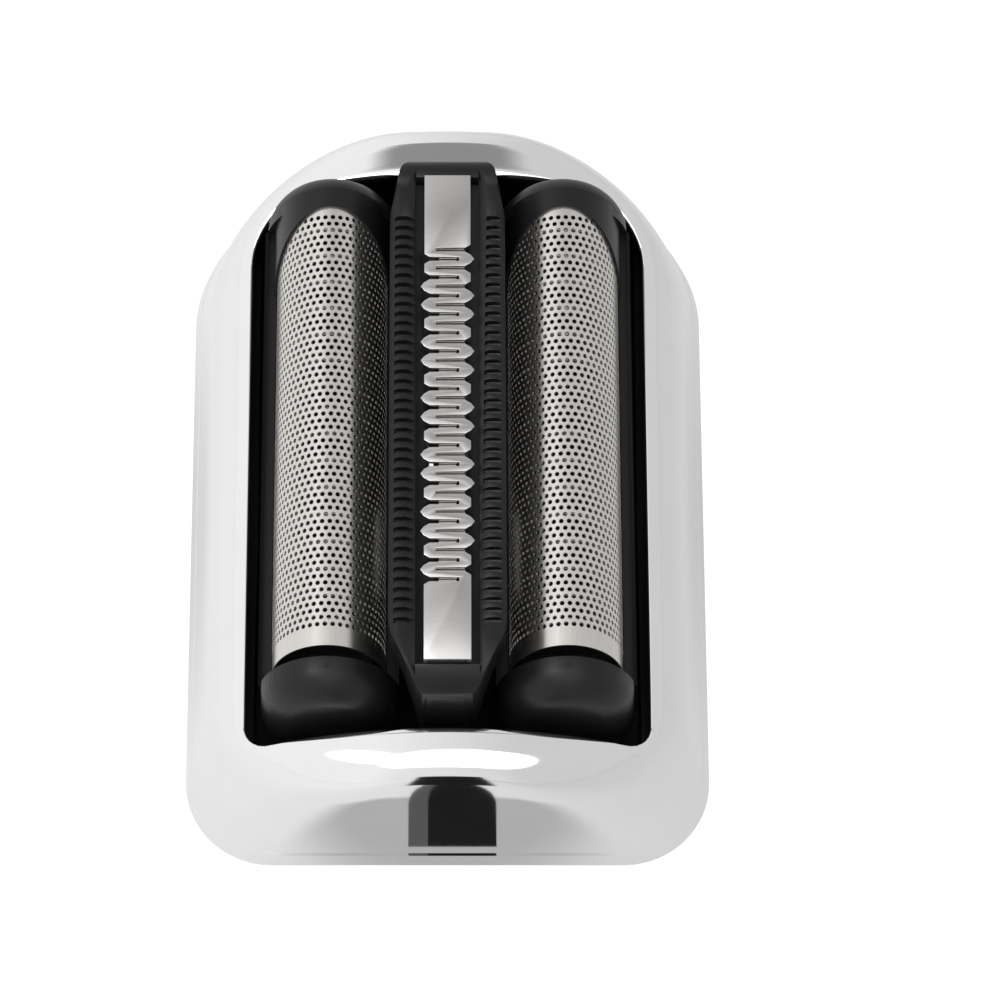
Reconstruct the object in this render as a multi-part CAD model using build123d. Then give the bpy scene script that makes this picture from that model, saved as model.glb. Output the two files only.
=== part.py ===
"""Shaver foil head: a chrome bezel around two floating foil cartridges and a middle trimmer.

Frame: millimetres, +Z out of the shaving face, Y along the foils, X across them.
The origin is the middle of the base rim, on the plane that the head stands on.
"""
import os
from math import cos, radians, sin

from build123d import *

# Bezel: the chrome shell, its lean, its arched rim and the opening in it
bezel_length = 44.8
bezel_width = 32.2
bezel_near_corner = 5.4
bezel_far_corner = 8.5
bezel_top_flat = 2.1
bezel_wall = 1.3
band_height = 1.6
band_step = 0.15
side_lean = 3.0
end_lean = 0.6
lean_height = 14.0
rim_arch_radius = 20.0
rim_thickness = 1.6
rim_round = 1.8
rim_inner_round = 0.5
rim_side_width = 4.0
rim_end_width = 4.2
opening_corner = 2.4
tongue_thickness = 0.5
tongue_gap = 0.2

# Chassis: the black tray inside the bezel
chassis_gap = 0.1
chassis_bottom = 0.8
tray_wall = 1.8
floor_thickness = 1.0
pocket_clearance = 0.4
guide_height = 4.0
guide_wall = 0.55
guide_depth = 2.0

# Foil cartridges: the frame, its place in the opening, the arched foil and their travel
opening_side_gap = 0.8
opening_end_gap = 0.9
cartridge_gap = 5.8
frame_rail = 0.75
frame_cap = 1.85
frame_cap_lip = 0.45
frame_lift = 2.6
frame_height = 9.0
frame_crest_drop = 0.6
frame_rail_height = 4.3
frame_end_round = 2.2
frame_bar_width = 3.6
frame_bar_inset = 5.1
frame_bar_height = 0.8
foil_crest = 16.6
foil_proud = 3.4
foil_thickness = 0.15
foil_leg_gap = 1.5
foil_end_gap = 0.55
foil_fit = 0.05
foil_travel = 2.0
hole_size = 0.42
hole_rows = 18
hole_columns = 5
hole_end_band = 0.65
hole_column_angle = 26.0

# Inner cutters: blades in a carrier that strokes along the foil
blade_clearance = 0.15
blade_thickness = 0.35
blade_count = 16
blade_tongue = 1.0
blade_tongue_width = 3.2
carrier_drop = 2.0
carrier_height = 2.2
carrier_side_step = 0.5
carrier_end_gap = 0.85
boss_height = 3.4
boss_side_step = 0.2
boss_length = 7.0
socket_radius = 1.5
socket_depth = 3.0
cutter_stroke = 1.0
leaf_thickness = 0.2
leaf_width = 2.2
leaf_flat = 4.0
leaf_tip = 0.8
leaf_rest = 0.02

# Trimmer: ribbed frame, slotted comb, moving blade and its driver
trimmer_width = 7.0
trimmer_taper = 3.7
trimmer_near_nose = 3.4
trimmer_far_nose = 5.4
trimmer_shoulder_round = 4.0
trimmer_nose_round = 1.3
trimmer_nose_slope = 2.4
trimmer_rise = 0.7
rail_height = 2.9
rail_width = 1.6
rail_bevel = 0.55
rib_count = 42
rib_groove = 0.3
rib_depth = 0.5
rib_lip = 0.3
trough_depth = 1.3
deck_height = 2.0
deck_top_width = 5.2
deck_bottom_width = 4.0
leg_bottom_width = 2.4
leg_length = 4.2
trimmer_lift = 2.4
comb_rise = 0.5
comb_thickness = 0.3
comb_width = 2.8
comb_end_gap = 1.5
comb_plain_end = 4.73
comb_flange = 0.9
comb_periods = 18
slot_width = 0.26
slot_reach = 0.7
slot_mouth = 0.66
tip_reach = 0.22
tip_every = 3
blade_gap = 0.1
moving_blade_thickness = 0.3
moving_blade_gap = 4.6
driver_width = 1.7
driver_bar_step = 1.2
driver_leg_length = 4.0
driver_lift = 2.8
driver_fork_width = 1.5
driver_fork_depth = 2.6
driver_deck_gap = 0.1
trimmer_travel = 1.5
trimmer_stroke = 0.9

# Float springs and the tabs that stop the floating pieces
spring_wire = 0.3
foil_spring_outer = 1.5
trimmer_spring_outer = 2.2
spring_turns = 2.5
spring_seat_inset = 0.85
tab_width = 2.4
tab_height = 0.9
tab_reach = 1.2
tab_clearance = 0.15
slide_clearance = 0.3

# Across the head: the rim's corners, the opening, the cartridges in it and what nests inside them
opening_width = bezel_width - 2 * rim_side_width
frame_width = opening_width / 2 - opening_side_gap - cartridge_gap / 2
foil_offset = (cartridge_gap + frame_width) / 2
foil_radius = frame_width / 2 - frame_rail - foil_fit
blade_radius = foil_radius - foil_thickness - blade_clearance
carrier_width = 2 * (blade_radius - carrier_side_step)
boss_width = carrier_width - 2 * boss_side_step
pocket_width = 2 * foil_offset + frame_width + 2 * pocket_clearance
guide_width = tab_width + 2 * tab_clearance + 2 * guide_wall
tongue_width = foil_offset - guide_width - 2 * tongue_gap
bezel_top_corner = bezel_width / 2 - side_lean - bezel_top_flat

# Along the head: the opening, the frames in it and the patterns along them
opening_length = bezel_length - 2 * rim_end_width
frame_length = opening_length - 2 * opening_end_gap
trimmer_length = frame_length
trimmer_straight = trimmer_length - 2 * trimmer_taper
pocket_length = frame_length + 2 * pocket_clearance
frame_hollow = frame_length - 2 * frame_cap
frame_window = frame_hollow - 2 * frame_cap_lip
foil_length = frame_window - 2 * foil_end_gap
carrier_length = foil_length - 2 * carrier_end_gap
comb_length = trimmer_length - 2 * comb_end_gap
moving_blade_length = comb_length - 2 * moving_blade_gap
driver_bar_length = moving_blade_length - 2 * driver_bar_step
hole_row_pitch = (foil_length - 2 * hole_end_band) / hole_rows
blade_pitch = carrier_length / blade_count
rib_pitch = trimmer_straight / (rib_count + 0.5)
comb_pitch = (comb_length - 2 * comb_plain_end) / comb_periods
frame_bar_middle = frame_length / 2 - frame_bar_inset
spring_seat_y = frame_length / 2 - spring_seat_inset
trimmer_seat_y = trimmer_length / 2 - leg_length / 2

# Downwards from the foils' crest: the rim, the frames, the floor under them and what stands on it
rim_height = foil_crest - foil_proud
frame_crest = foil_crest - frame_crest_drop
frame_bottom = frame_crest - frame_height
frame_rail_top = frame_bottom + frame_rail_height
floor_top = frame_bottom - frame_lift
floor_bottom = floor_top - floor_thickness
chassis_top = floor_top + tray_wall
guide_top = floor_top + guide_height
foil_leg_bottom = frame_bottom + foil_leg_gap
foil_axis = foil_crest - foil_radius
carrier_top = foil_axis - carrier_drop
carrier_bottom = carrier_top - carrier_height
boss_bottom = carrier_bottom - boss_height
rail_top = foil_crest + trimmer_rise
rail_bottom = rail_top - rail_height
trough_floor = rail_top - trough_depth
deck_bottom = rail_bottom - deck_height
leg_bottom = floor_top + trimmer_lift
comb_top = rail_top + comb_rise
comb_bottom = comb_top - comb_thickness
moving_blade_top = comb_bottom - blade_gap
moving_blade_bottom = moving_blade_top - moving_blade_thickness
driver_top = trough_floor + driver_deck_gap
driver_bottom = floor_top + driver_lift


def block(width, length, bottom, top, x=0.0, y=0.0):
    """A plain block between two heights, centred on x and y."""
    return Pos(x, y, (bottom + top) / 2) * Box(width, length, top - bottom)


def bezel_plan(width, length, near_corner, far_corner):
    """The bezel's plan: a rectangle whose far corners are rounder than its near ones."""
    plan = Rectangle(width, length)
    plan = fillet(plan.vertices().group_by(Axis.Y)[0], near_corner)
    return fillet(plan.vertices().group_by(Axis.Y)[-1], far_corner)


def leaning_body(inset, bottom, top):
    """The bezel's wall form between two heights, drawn in by an inset."""
    sections = []
    for height in (bottom, top):
        share = height / lean_height
        width = bezel_width - 2 * (inset + side_lean * share)
        length = bezel_length - 2 * (inset + end_lean * share)
        near = bezel_near_corner + (bezel_top_corner - bezel_near_corner) * share - inset
        far = bezel_far_corner + (bezel_top_corner - bezel_far_corner) * share - inset
        sections.append(Pos(0, 0, height) * bezel_plan(width, length, near, far))
    return loft(sections, ruled=True)


def arch_body(radius):
    """A long cylinder along Y whose crest, at the rim's own radius, is the rim's top."""
    return Pos(0, 0, rim_height - rim_arch_radius) * Rot(90, 0, 0) * Cylinder(radius, 2 * bezel_length)


def make_bezel():
    """The chrome shell: a foot band, leaning walls, an arched rim, a rounded opening and end tongues."""
    band = extrude(bezel_plan(bezel_width, bezel_length, bezel_near_corner, bezel_far_corner), band_height)
    walls = leaning_body(band_step, 0.0, lean_height + rim_thickness)
    outer = (band + walls) & arch_body(rim_arch_radius)
    rim_edges = outer.faces().filter_by(GeomType.CYLINDER).sort_by(Axis.Z)[-1].edges()
    outer = fillet(rim_edges, rim_round)
    cavity = leaning_body(bezel_wall, -1.0, lean_height) & arch_body(rim_arch_radius - rim_thickness)
    opening = extrude(RectangleRounded(opening_width, opening_length, opening_corner), 2 * rim_height)
    shell = outer - cavity
    shell = shell - opening
    top_face = shell.faces().filter_by(GeomType.CYLINDER).sort_by(SortBy.AREA)[-1]
    crest = [f for f in shell.faces() if f.center().Z > guide_top and f.normal_at().Z > 0.7]
    inner_edges = [
        e for e in top_face.edges() + [x for f in crest for x in f.edges()]
        if abs(e.center().X) <= opening_width / 2 + 0.01 and abs(e.center().Y) <= opening_length / 2 + 0.01
    ]
    shell = fillet(list(dict.fromkeys(inner_edges)), rim_inner_round)
    lip = arch_body(rim_arch_radius - rim_thickness / 2)
    for x in (-foil_offset / 2, foil_offset / 2):
        for end in (-1, 1):
            tongue = block(
                tongue_width,
                tongue_thickness,
                chassis_top + tongue_gap,
                rim_height,
                x=x,
                y=end * (opening_length + tongue_thickness) / 2,
            )
            shell = shell + (tongue & lip)
    return shell


def make_chassis():
    """The black tray: walls that follow the bezel, a slotted floor and guide posts with stop windows."""
    body = leaning_body(bezel_wall + chassis_gap, chassis_bottom, chassis_top)
    body = body & arch_body(rim_arch_radius - rim_thickness - chassis_gap)
    inside = leaning_body(bezel_wall + chassis_gap, floor_bottom, guide_top)
    for x in (-foil_offset, 0.0, foil_offset):
        for end in (-1, 1):
            guide_y = end * (pocket_length + guide_depth) / 2
            body = body + (inside & block(guide_width, guide_depth, floor_bottom, guide_top, x=x, y=guide_y))
    body = body - block(pocket_width, pocket_length, floor_top, guide_top + 1)
    body = body - block(pocket_width, pocket_length, chassis_bottom - 1, floor_bottom)
    boss_slot = boss_length + 2 * (cutter_stroke + slide_clearance)
    for x in (-foil_offset, foil_offset):
        body = body - block(boss_width + 2 * slide_clearance, boss_slot, chassis_bottom, floor_top + 1, x=x)
    driver_slot = driver_leg_length + 2 * (trimmer_stroke + slide_clearance)
    body = body - block(driver_width + 2 * slide_clearance, driver_slot, chassis_bottom, floor_top + 1)
    stops = (
        (-foil_offset, frame_bottom, foil_travel),
        (0.0, leg_bottom, trimmer_travel),
        (foil_offset, frame_bottom, foil_travel),
    )
    depth = tab_reach + tab_clearance
    for x, bottom, travel in stops:
        for end in (-1, 1):
            window = block(
                tab_width + 2 * tab_clearance,
                depth,
                bottom - travel - tab_clearance,
                bottom + tab_height + tab_clearance,
                x=x,
                y=end * (frame_length / 2 + depth / 2),
            )
            body = body - window
    return body


def make_foil_frame():
    """A cartridge frame about X = 0: domed end caps, low side rails, spring bars and stop tabs."""
    spring = frame_crest - frame_width / 2
    with BuildSketch(Plane.XZ) as profile:
        with BuildLine():
            Polyline(
                (frame_width / 2, spring),
                (frame_width / 2, frame_bottom),
                (-frame_width / 2, frame_bottom),
                (-frame_width / 2, spring),
            )
            ThreePointArc((-frame_width / 2, spring), (0, frame_crest), (frame_width / 2, spring))
        make_face()
    loaf = extrude(profile.sketch, frame_length / 2, both=True)
    end_edges = [
        e for face in loaf.faces().filter_by(Axis.Y) for e in face.edges() if e.center().Z > frame_bottom + 0.1
    ]
    loaf = fillet(end_edges, frame_end_round)
    hollow_radius = foil_radius + foil_fit
    hollow = block(2 * hollow_radius, frame_hollow, frame_bottom - 1, foil_axis)
    hollow = hollow + Pos(0, 0, foil_axis) * Rot(90, 0, 0) * Cylinder(hollow_radius, frame_hollow)
    frame = loaf - hollow
    frame = frame - block(2 * frame_width, frame_window, frame_rail_top, frame_crest + 1)
    for end in (-1, 1):
        frame = frame + block(
            2 * hollow_radius, frame_bar_width, frame_bottom, frame_bottom + frame_bar_height, y=end * frame_bar_middle
        )
        frame = frame + block(
            tab_width, 2 * tab_reach, frame_bottom, frame_bottom + tab_height, y=end * frame_length / 2
        )
    return frame


def make_foil():
    """The perforated foil about X = 0: an arch with straight legs and a staggered hole pattern."""
    outer = Pos(0, 0, foil_axis) * Rot(90, 0, 0) * Cylinder(foil_radius, foil_length)
    outer = outer + block(2 * foil_radius, foil_length, foil_leg_bottom, foil_axis)
    inner_radius = foil_radius - foil_thickness
    inner = Pos(0, 0, foil_axis) * Rot(90, 0, 0) * Cylinder(inner_radius, foil_length + 1)
    inner = inner + block(2 * inner_radius, foil_length + 1, foil_leg_bottom - 1, foil_axis)
    holes = []
    for row in range(hole_rows):
        y = (row - (hole_rows - 1) / 2) * hole_row_pitch
        stagger = 0.25 if row % 2 else -0.25
        for column in range(hole_columns):
            angle = radians((column - (hole_columns - 1) / 2 + stagger) * hole_column_angle)
            outward = Vector(sin(angle), 0, cos(angle))
            start = Vector(0, y, foil_axis) + outward * (inner_radius - foil_thickness)
            plane = Plane(origin=start, x_dir=(0, 1, 0), z_dir=outward)
            holes.append(extrude(plane * RegularPolygon(hole_size, 6), 3 * foil_thickness))
    return outer - inner - holes


def make_cutter_blades():
    """The row of arched steel blades of one inner cutter about X = 0, each with a tongue."""
    with BuildSketch(Plane.XZ) as outline:
        with BuildLine():
            Polyline(
                (blade_radius, foil_axis),
                (blade_radius, carrier_top),
                (blade_tongue_width / 2, carrier_top),
                (blade_tongue_width / 2, carrier_top - blade_tongue),
                (-blade_tongue_width / 2, carrier_top - blade_tongue),
                (-blade_tongue_width / 2, carrier_top),
                (-blade_radius, carrier_top),
                (-blade_radius, foil_axis),
            )
            ThreePointArc((-blade_radius, foil_axis), (0, foil_axis + blade_radius), (blade_radius, foil_axis))
        make_face()
    blade = extrude(outline.sketch, blade_thickness / 2, both=True)
    places = [(n - (blade_count - 1) / 2) * blade_pitch for n in range(blade_count)]
    return Compound([Pos(0, y, 0) * blade for y in places])


def make_cutter_carrier():
    """The plastic bar that holds the blades, with a boss and a socket for the drive pin."""
    bar = block(carrier_width, carrier_length, carrier_bottom, carrier_top)
    boss = block(boss_width, boss_length, boss_bottom, carrier_bottom)
    socket = Pos(0, 0, boss_bottom + socket_depth / 2) * Cylinder(socket_radius, socket_depth)
    places = [(n - (blade_count - 1) / 2) * blade_pitch for n in range(blade_count)]
    slots = [
        block(blade_tongue_width, blade_thickness, carrier_top - blade_tongue, carrier_top + 1, y=y) for y in places
    ]
    return bar + boss - socket - slots


def make_cutter_springs():
    """The two leaf springs between a carrier and the bars of its cartridge frame."""
    rest = frame_bottom + frame_bar_height + leaf_rest
    start = boss_length / 2 + slide_clearance
    bend = start + leaf_flat
    end = frame_bar_middle
    with BuildSketch(Plane.YZ) as strip:
        Polygon(
            (start, carrier_bottom),
            (bend, carrier_bottom),
            (end, rest + leaf_thickness),
            (end + leaf_tip, rest + leaf_thickness),
            (end + leaf_tip, rest),
            (end, rest),
            (bend, carrier_bottom - leaf_thickness),
            (start, carrier_bottom - leaf_thickness),
            align=None,
        )
    leaf = extrude(strip.sketch, leaf_width / 2, both=True)
    return Compound([leaf, mirror(leaf, about=Plane.XZ)])


def coil_spring(x, y, bottom, top, outer):
    """A short compression spring standing between two heights."""
    radius = (outer - spring_wire) / 2
    height = top - bottom - spring_wire
    path = Helix(pitch=height / spring_turns, height=height, radius=radius, center=(0, 0, bottom + spring_wire / 2))
    start = Plane(origin=path @ 0, z_dir=path % 0)
    return Pos(x, y, 0) * sweep(start * Rectangle(spring_wire, spring_wire), path, is_frenet=True)


def make_trimmer_frame():
    """The ribbed frame of the trimmer: rails, deck, comb seats and two end legs with stop tabs."""
    half_straight, half_length = trimmer_straight / 2, trimmer_length / 2
    outer, trough = trimmer_width / 2, trimmer_width / 2 - rail_width
    plan = Polygon(
        (outer, -half_straight),
        (outer, half_straight),
        (trimmer_far_nose / 2, half_length),
        (-trimmer_far_nose / 2, half_length),
        (-outer, half_straight),
        (-outer, -half_straight),
        (-trimmer_near_nose / 2, -half_length),
        (trimmer_near_nose / 2, -half_length),
        align=None,
    )
    plan = fillet(plan.vertices().filter_by(lambda v: abs(v.Y) > half_length - 0.01), trimmer_nose_round)
    plan = fillet(plan.vertices().filter_by(lambda v: abs(v.X) > outer - 0.01), trimmer_shoulder_round)
    outline = extrude(Pos(0, 0, leg_bottom - 1) * plan, rail_top - leg_bottom + 2)
    with BuildSketch(Plane.YZ) as prow:
        with Locations((0, (leg_bottom + rail_top) / 2)):
            Rectangle(trimmer_length, rail_top - leg_bottom)
        fillet(prow.vertices().group_by(Axis.Z)[-1], trimmer_nose_slope)
    outline = outline & extrude(prow.sketch, trimmer_width, both=True)
    with BuildSketch(Plane.XZ) as profile:
        Polygon(
            (outer, rail_bottom),
            (outer, rail_top - rail_bevel),
            (outer - rail_bevel, rail_top),
            (trough + rail_bevel, rail_top),
            (trough, rail_top - rail_bevel),
            (trough, trough_floor),
            (-trough, trough_floor),
            (-trough, rail_top - rail_bevel),
            (-trough - rail_bevel, rail_top),
            (-outer + rail_bevel, rail_top),
            (-outer, rail_top - rail_bevel),
            (-outer, rail_bottom),
            (-deck_top_width / 2, rail_bottom),
            (-deck_bottom_width / 2, deck_bottom),
            (deck_bottom_width / 2, deck_bottom),
            (deck_top_width / 2, rail_bottom),
            align=None,
        )
    frame = extrude(profile.sketch, half_length, both=True)
    end_width = 2 * trough
    seat_length = (comb_length - moving_blade_length) / 2 - trimmer_stroke - slide_clearance
    with BuildSketch(Plane.XZ) as leg_profile:
        Polygon(
            (deck_bottom_width / 2, deck_bottom),
            (leg_bottom_width / 2, leg_bottom),
            (-leg_bottom_width / 2, leg_bottom),
            (-deck_bottom_width / 2, deck_bottom),
            align=None,
        )
    leg = extrude(leg_profile.sketch, leg_length / 2, both=True)
    seat_width = comb_width - 2 * comb_thickness - 2 * foil_fit
    nose_length = half_length - comb_length / 2 - foil_fit
    for end in (-1, 1):
        frame = frame + block(end_width, nose_length, trough_floor, rail_top, y=end * (half_length - nose_length / 2))
        frame = frame + Pos(0, end * trimmer_seat_y, 0) * leg
    frame = frame & outline
    for end in (-1, 1):
        frame = frame + block(
            seat_width, seat_length, trough_floor, comb_bottom, y=end * (comb_length - seat_length) / 2
        )
    slot_length = driver_leg_length + 2 * (trimmer_stroke + slide_clearance)
    frame = frame - block(driver_width + 2 * slide_clearance, slot_length, deck_bottom - 1, trough_floor + 0.01)
    grooves = []
    groove_width = rail_width - rib_lip + 0.2
    groove_middle = trough + groove_width / 2 - 0.2
    for n in range(rib_count):
        y = (n - (rib_count - 1) / 2) * rib_pitch
        for side in (-1, 1):
            grooves.append(
                block(groove_width, rib_groove, rail_top - rib_depth, rail_top + 1, x=side * groove_middle, y=y)
            )
    frame = frame - grooves
    for end in (-1, 1):
        frame = frame + block(
            tab_width, 2 * tab_reach, leg_bottom, leg_bottom + tab_height, y=end * half_length
        )
    return frame


def comb_slot(side, y, half_width, mouth):
    """The outline of one slot that opens to one side, with a mouth that flares to pointed teeth."""
    flare = half_width - mouth
    end = side * half_width * 1.5
    return Polygon(
        (-side * slot_reach, y - slot_width / 2),
        (side * flare, y - slot_width / 2),
        (side * half_width, y - slot_mouth / 2),
        (end, y - slot_mouth / 2),
        (end, y + slot_mouth / 2),
        (side * half_width, y + slot_mouth / 2),
        (side * flare, y + slot_width / 2),
        (-side * slot_reach, y + slot_width / 2),
        align=None,
    )


def make_trimmer_comb():
    """The fixed steel comb: a bent channel whose slots open left and right in turn."""
    half = comb_width / 2
    plan = Rectangle(comb_width, comb_length)
    slots, tips, tabs = [], [], []
    tooth = comb_pitch - slot_mouth
    for n in range(comb_periods):
        for side, shift in ((-1, -0.25), (1, 0.25)):
            y = (n - (comb_periods - 1) / 2 + shift) * comb_pitch
            slots.append(comb_slot(side, y, half, slot_mouth / 2))
            if n == comb_periods - 1:
                continue
            middle = y + comb_pitch / 2
            if (n + (side > 0)) % tip_every == 1:
                tabs.append(
                    block(comb_thickness, tooth, comb_bottom - comb_flange, comb_bottom,
                          x=side * (half - comb_thickness / 2), y=middle)
                )
            else:
                tip = Polygon(
                    (half * 0.9, side * middle - tooth / 2),
                    (half, side * middle - tooth / 2),
                    (half + tip_reach, side * middle),
                    (half, side * middle + tooth / 2),
                    (half * 0.9, side * middle + tooth / 2),
                    align=None,
                )
                tips.append(tip if side > 0 else Rot(0, 0, 180) * tip)
    plan = plan - slots + tips
    comb = Pos(0, 0, comb_bottom) * extrude(plan, comb_thickness)
    slotted = comb_periods * comb_pitch + slot_mouth
    end_length = (comb_length - slotted) / 2
    for end in (-1, 1):
        for side in (-1, 1):
            comb = comb + block(
                comb_thickness,
                end_length,
                comb_bottom - comb_flange,
                comb_bottom,
                x=side * (half - comb_thickness / 2),
                y=end * (comb_length - end_length) / 2,
            )
    return comb + tabs


def make_trimmer_blade():
    """The moving blade under the comb: a strip with plain teeth along both sides."""
    inner = comb_width / 2 - comb_thickness - foil_fit
    plan = Rectangle(2 * inner, moving_blade_length)
    gaps = []
    for n in range(comb_periods):
        y = (n - (comb_periods - 1) / 2) * comb_pitch
        for side in (-1, 1):
            gaps.append(Pos(side * inner, y) * Rectangle(inner, comb_pitch / 2))
    return Pos(0, 0, moving_blade_bottom) * extrude(plan - gaps, moving_blade_thickness)


def make_trimmer_driver():
    """The plastic slider under the moving blade, with a leg whose fork takes the drive pin."""
    bar = block(driver_width, driver_bar_length, driver_top, moving_blade_bottom)
    leg = block(driver_width, driver_leg_length, driver_bottom, driver_top)
    fork = block(2 * driver_width, driver_fork_width, driver_bottom - 1, driver_bottom + driver_fork_depth)
    return bar + leg - fork


def main():
    """Builds every piece and writes one STEP file for each node."""
    nodes = {
        "bezel": make_bezel(),
        "chassis": make_chassis(),
        "trimmer_frame": make_trimmer_frame(),
        "trimmer_comb": make_trimmer_comb(),
        "trimmer_blade": make_trimmer_blade(),
        "trimmer_driver": make_trimmer_driver(),
        "trimmer_springs": Compound(
            [
                coil_spring(0, end * trimmer_seat_y, floor_top, leg_bottom, trimmer_spring_outer) for end in (-1, 1)
            ]
        ),
    }
    cartridge = {
        "foil_frame": make_foil_frame(),
        "foil": make_foil(),
        "cutter_blades": make_cutter_blades(),
        "cutter_carrier": make_cutter_carrier(),
        "cutter_springs": make_cutter_springs(),
        "foil_springs": Compound(
            [
                coil_spring(0, end * spring_seat_y, floor_top, frame_bottom, foil_spring_outer) for end in (-1, 1)
            ]
        ),
    }
    for name, piece in cartridge.items():
        nodes[name + "_left"] = Pos(-foil_offset, 0, 0) * piece
        nodes[name + "_right"] = Pos(foil_offset, 0, 0) * piece
    os.makedirs("parts", exist_ok=True)
    for name, piece in nodes.items():
        export_step(piece, os.path.join("parts", name + ".step"))


main()
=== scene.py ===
"""Dresses the shaver foil head: chrome bezel, perforated foils, black frames and steel trimmer."""

import logging
from bisect import bisect
from dataclasses import dataclass, field
from enum import Enum
from math import cos, pi, radians, sin, sqrt

import bpy
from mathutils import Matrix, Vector


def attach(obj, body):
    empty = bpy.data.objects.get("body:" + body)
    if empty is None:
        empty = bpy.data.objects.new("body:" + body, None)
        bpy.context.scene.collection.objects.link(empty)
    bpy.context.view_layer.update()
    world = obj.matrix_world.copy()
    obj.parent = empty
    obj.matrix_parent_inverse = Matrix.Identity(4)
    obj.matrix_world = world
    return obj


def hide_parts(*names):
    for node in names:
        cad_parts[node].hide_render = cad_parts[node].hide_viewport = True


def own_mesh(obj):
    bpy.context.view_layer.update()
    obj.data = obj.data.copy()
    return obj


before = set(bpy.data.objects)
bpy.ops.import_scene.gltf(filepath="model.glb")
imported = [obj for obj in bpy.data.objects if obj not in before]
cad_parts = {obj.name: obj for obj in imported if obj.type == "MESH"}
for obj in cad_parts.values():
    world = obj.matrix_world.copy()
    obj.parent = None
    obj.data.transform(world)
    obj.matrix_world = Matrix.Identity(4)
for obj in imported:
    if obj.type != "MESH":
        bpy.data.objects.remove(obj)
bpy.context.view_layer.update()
LOG = logging.getLogger("foil_head")
MM = 0.001
NODE_MERGE = 0.000002
RING_MERGE = 0.0000005
SHEET_MERGE = 0.000004
FLAT_ANGLE = 0.3
Station = tuple[int, int, float]


class Slot(Enum):
    """The record's material slots."""

    CHROME = "chrome_shell"
    BLACK = "black_plastic"
    FOIL = "foil_steel"
    BLADE = "blade_steel"
    SPRING = "spring_steel"


class Side(Enum):
    """The two foil cartridges."""

    LEFT = -1
    RIGHT = 1

    @property
    def word(self) -> str:
        """The side's word in node and body names."""
        return self.name.lower()


def deselect_all() -> None:
    """Leaves object mode with nothing selected."""
    if bpy.context.object is not None and bpy.context.object.mode != "OBJECT":
        bpy.ops.object.mode_set(mode="OBJECT")
    bpy.ops.object.select_all(action="DESELECT")


def focus(piece: bpy.types.Object) -> None:
    """Selects one piece alone and makes it active."""
    deselect_all()
    piece.select_set(True)
    bpy.context.view_layer.objects.active = piece


def apply_modifiers(piece: bpy.types.Object) -> None:
    """Applies every modifier of a piece in order."""
    focus(piece)
    for modifier in list(piece.modifiers):
        bpy.ops.object.modifier_apply(modifier=modifier.name)


def tidy_mesh(piece: bpy.types.Object, merge: float, angle: float) -> None:
    """Merges doubles, turns faces outwards and shades a piece smooth up to an angle.

    Args:
        piece: The mesh object.
        merge: Distance in metres under which vertices are joined.
        angle: Edge angle in degrees that stays sharp.
    """
    focus(piece)
    bpy.ops.object.mode_set(mode="EDIT")
    bpy.ops.mesh.select_all(action="SELECT")
    bpy.ops.mesh.remove_doubles(threshold=merge)
    bpy.ops.mesh.normals_make_consistent(inside=False)
    bpy.ops.object.mode_set(mode="OBJECT")
    bpy.ops.object.shade_smooth_by_angle(angle=radians(angle))


def join(piece: bpy.types.Object, others: list[bpy.types.Object]) -> None:
    """Joins other pieces into one."""
    deselect_all()
    for other in others:
        other.select_set(True)
    piece.select_set(True)
    bpy.context.view_layer.objects.active = piece
    bpy.ops.object.join()


def merged_copy(node: str, name: str) -> bpy.types.Object:
    """A copy of a CAD node whose loose triangles are joined into whole faces.

    Args:
        node: The CAD node's name.
        name: The new piece's name.

    Returns:
        The new object, at the origin.
    """
    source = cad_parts[node]
    piece = bpy.data.objects.new(name, source.data.copy())
    bpy.context.scene.collection.objects.link(piece)
    piece.data.materials.clear()
    focus(piece)
    bpy.ops.object.mode_set(mode="EDIT")
    bpy.ops.mesh.select_all(action="SELECT")
    bpy.ops.mesh.remove_doubles(threshold=NODE_MERGE)
    bpy.ops.mesh.dissolve_limited(angle_limit=radians(FLAT_ANGLE))
    bpy.ops.object.mode_set(mode="OBJECT")
    return piece


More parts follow.
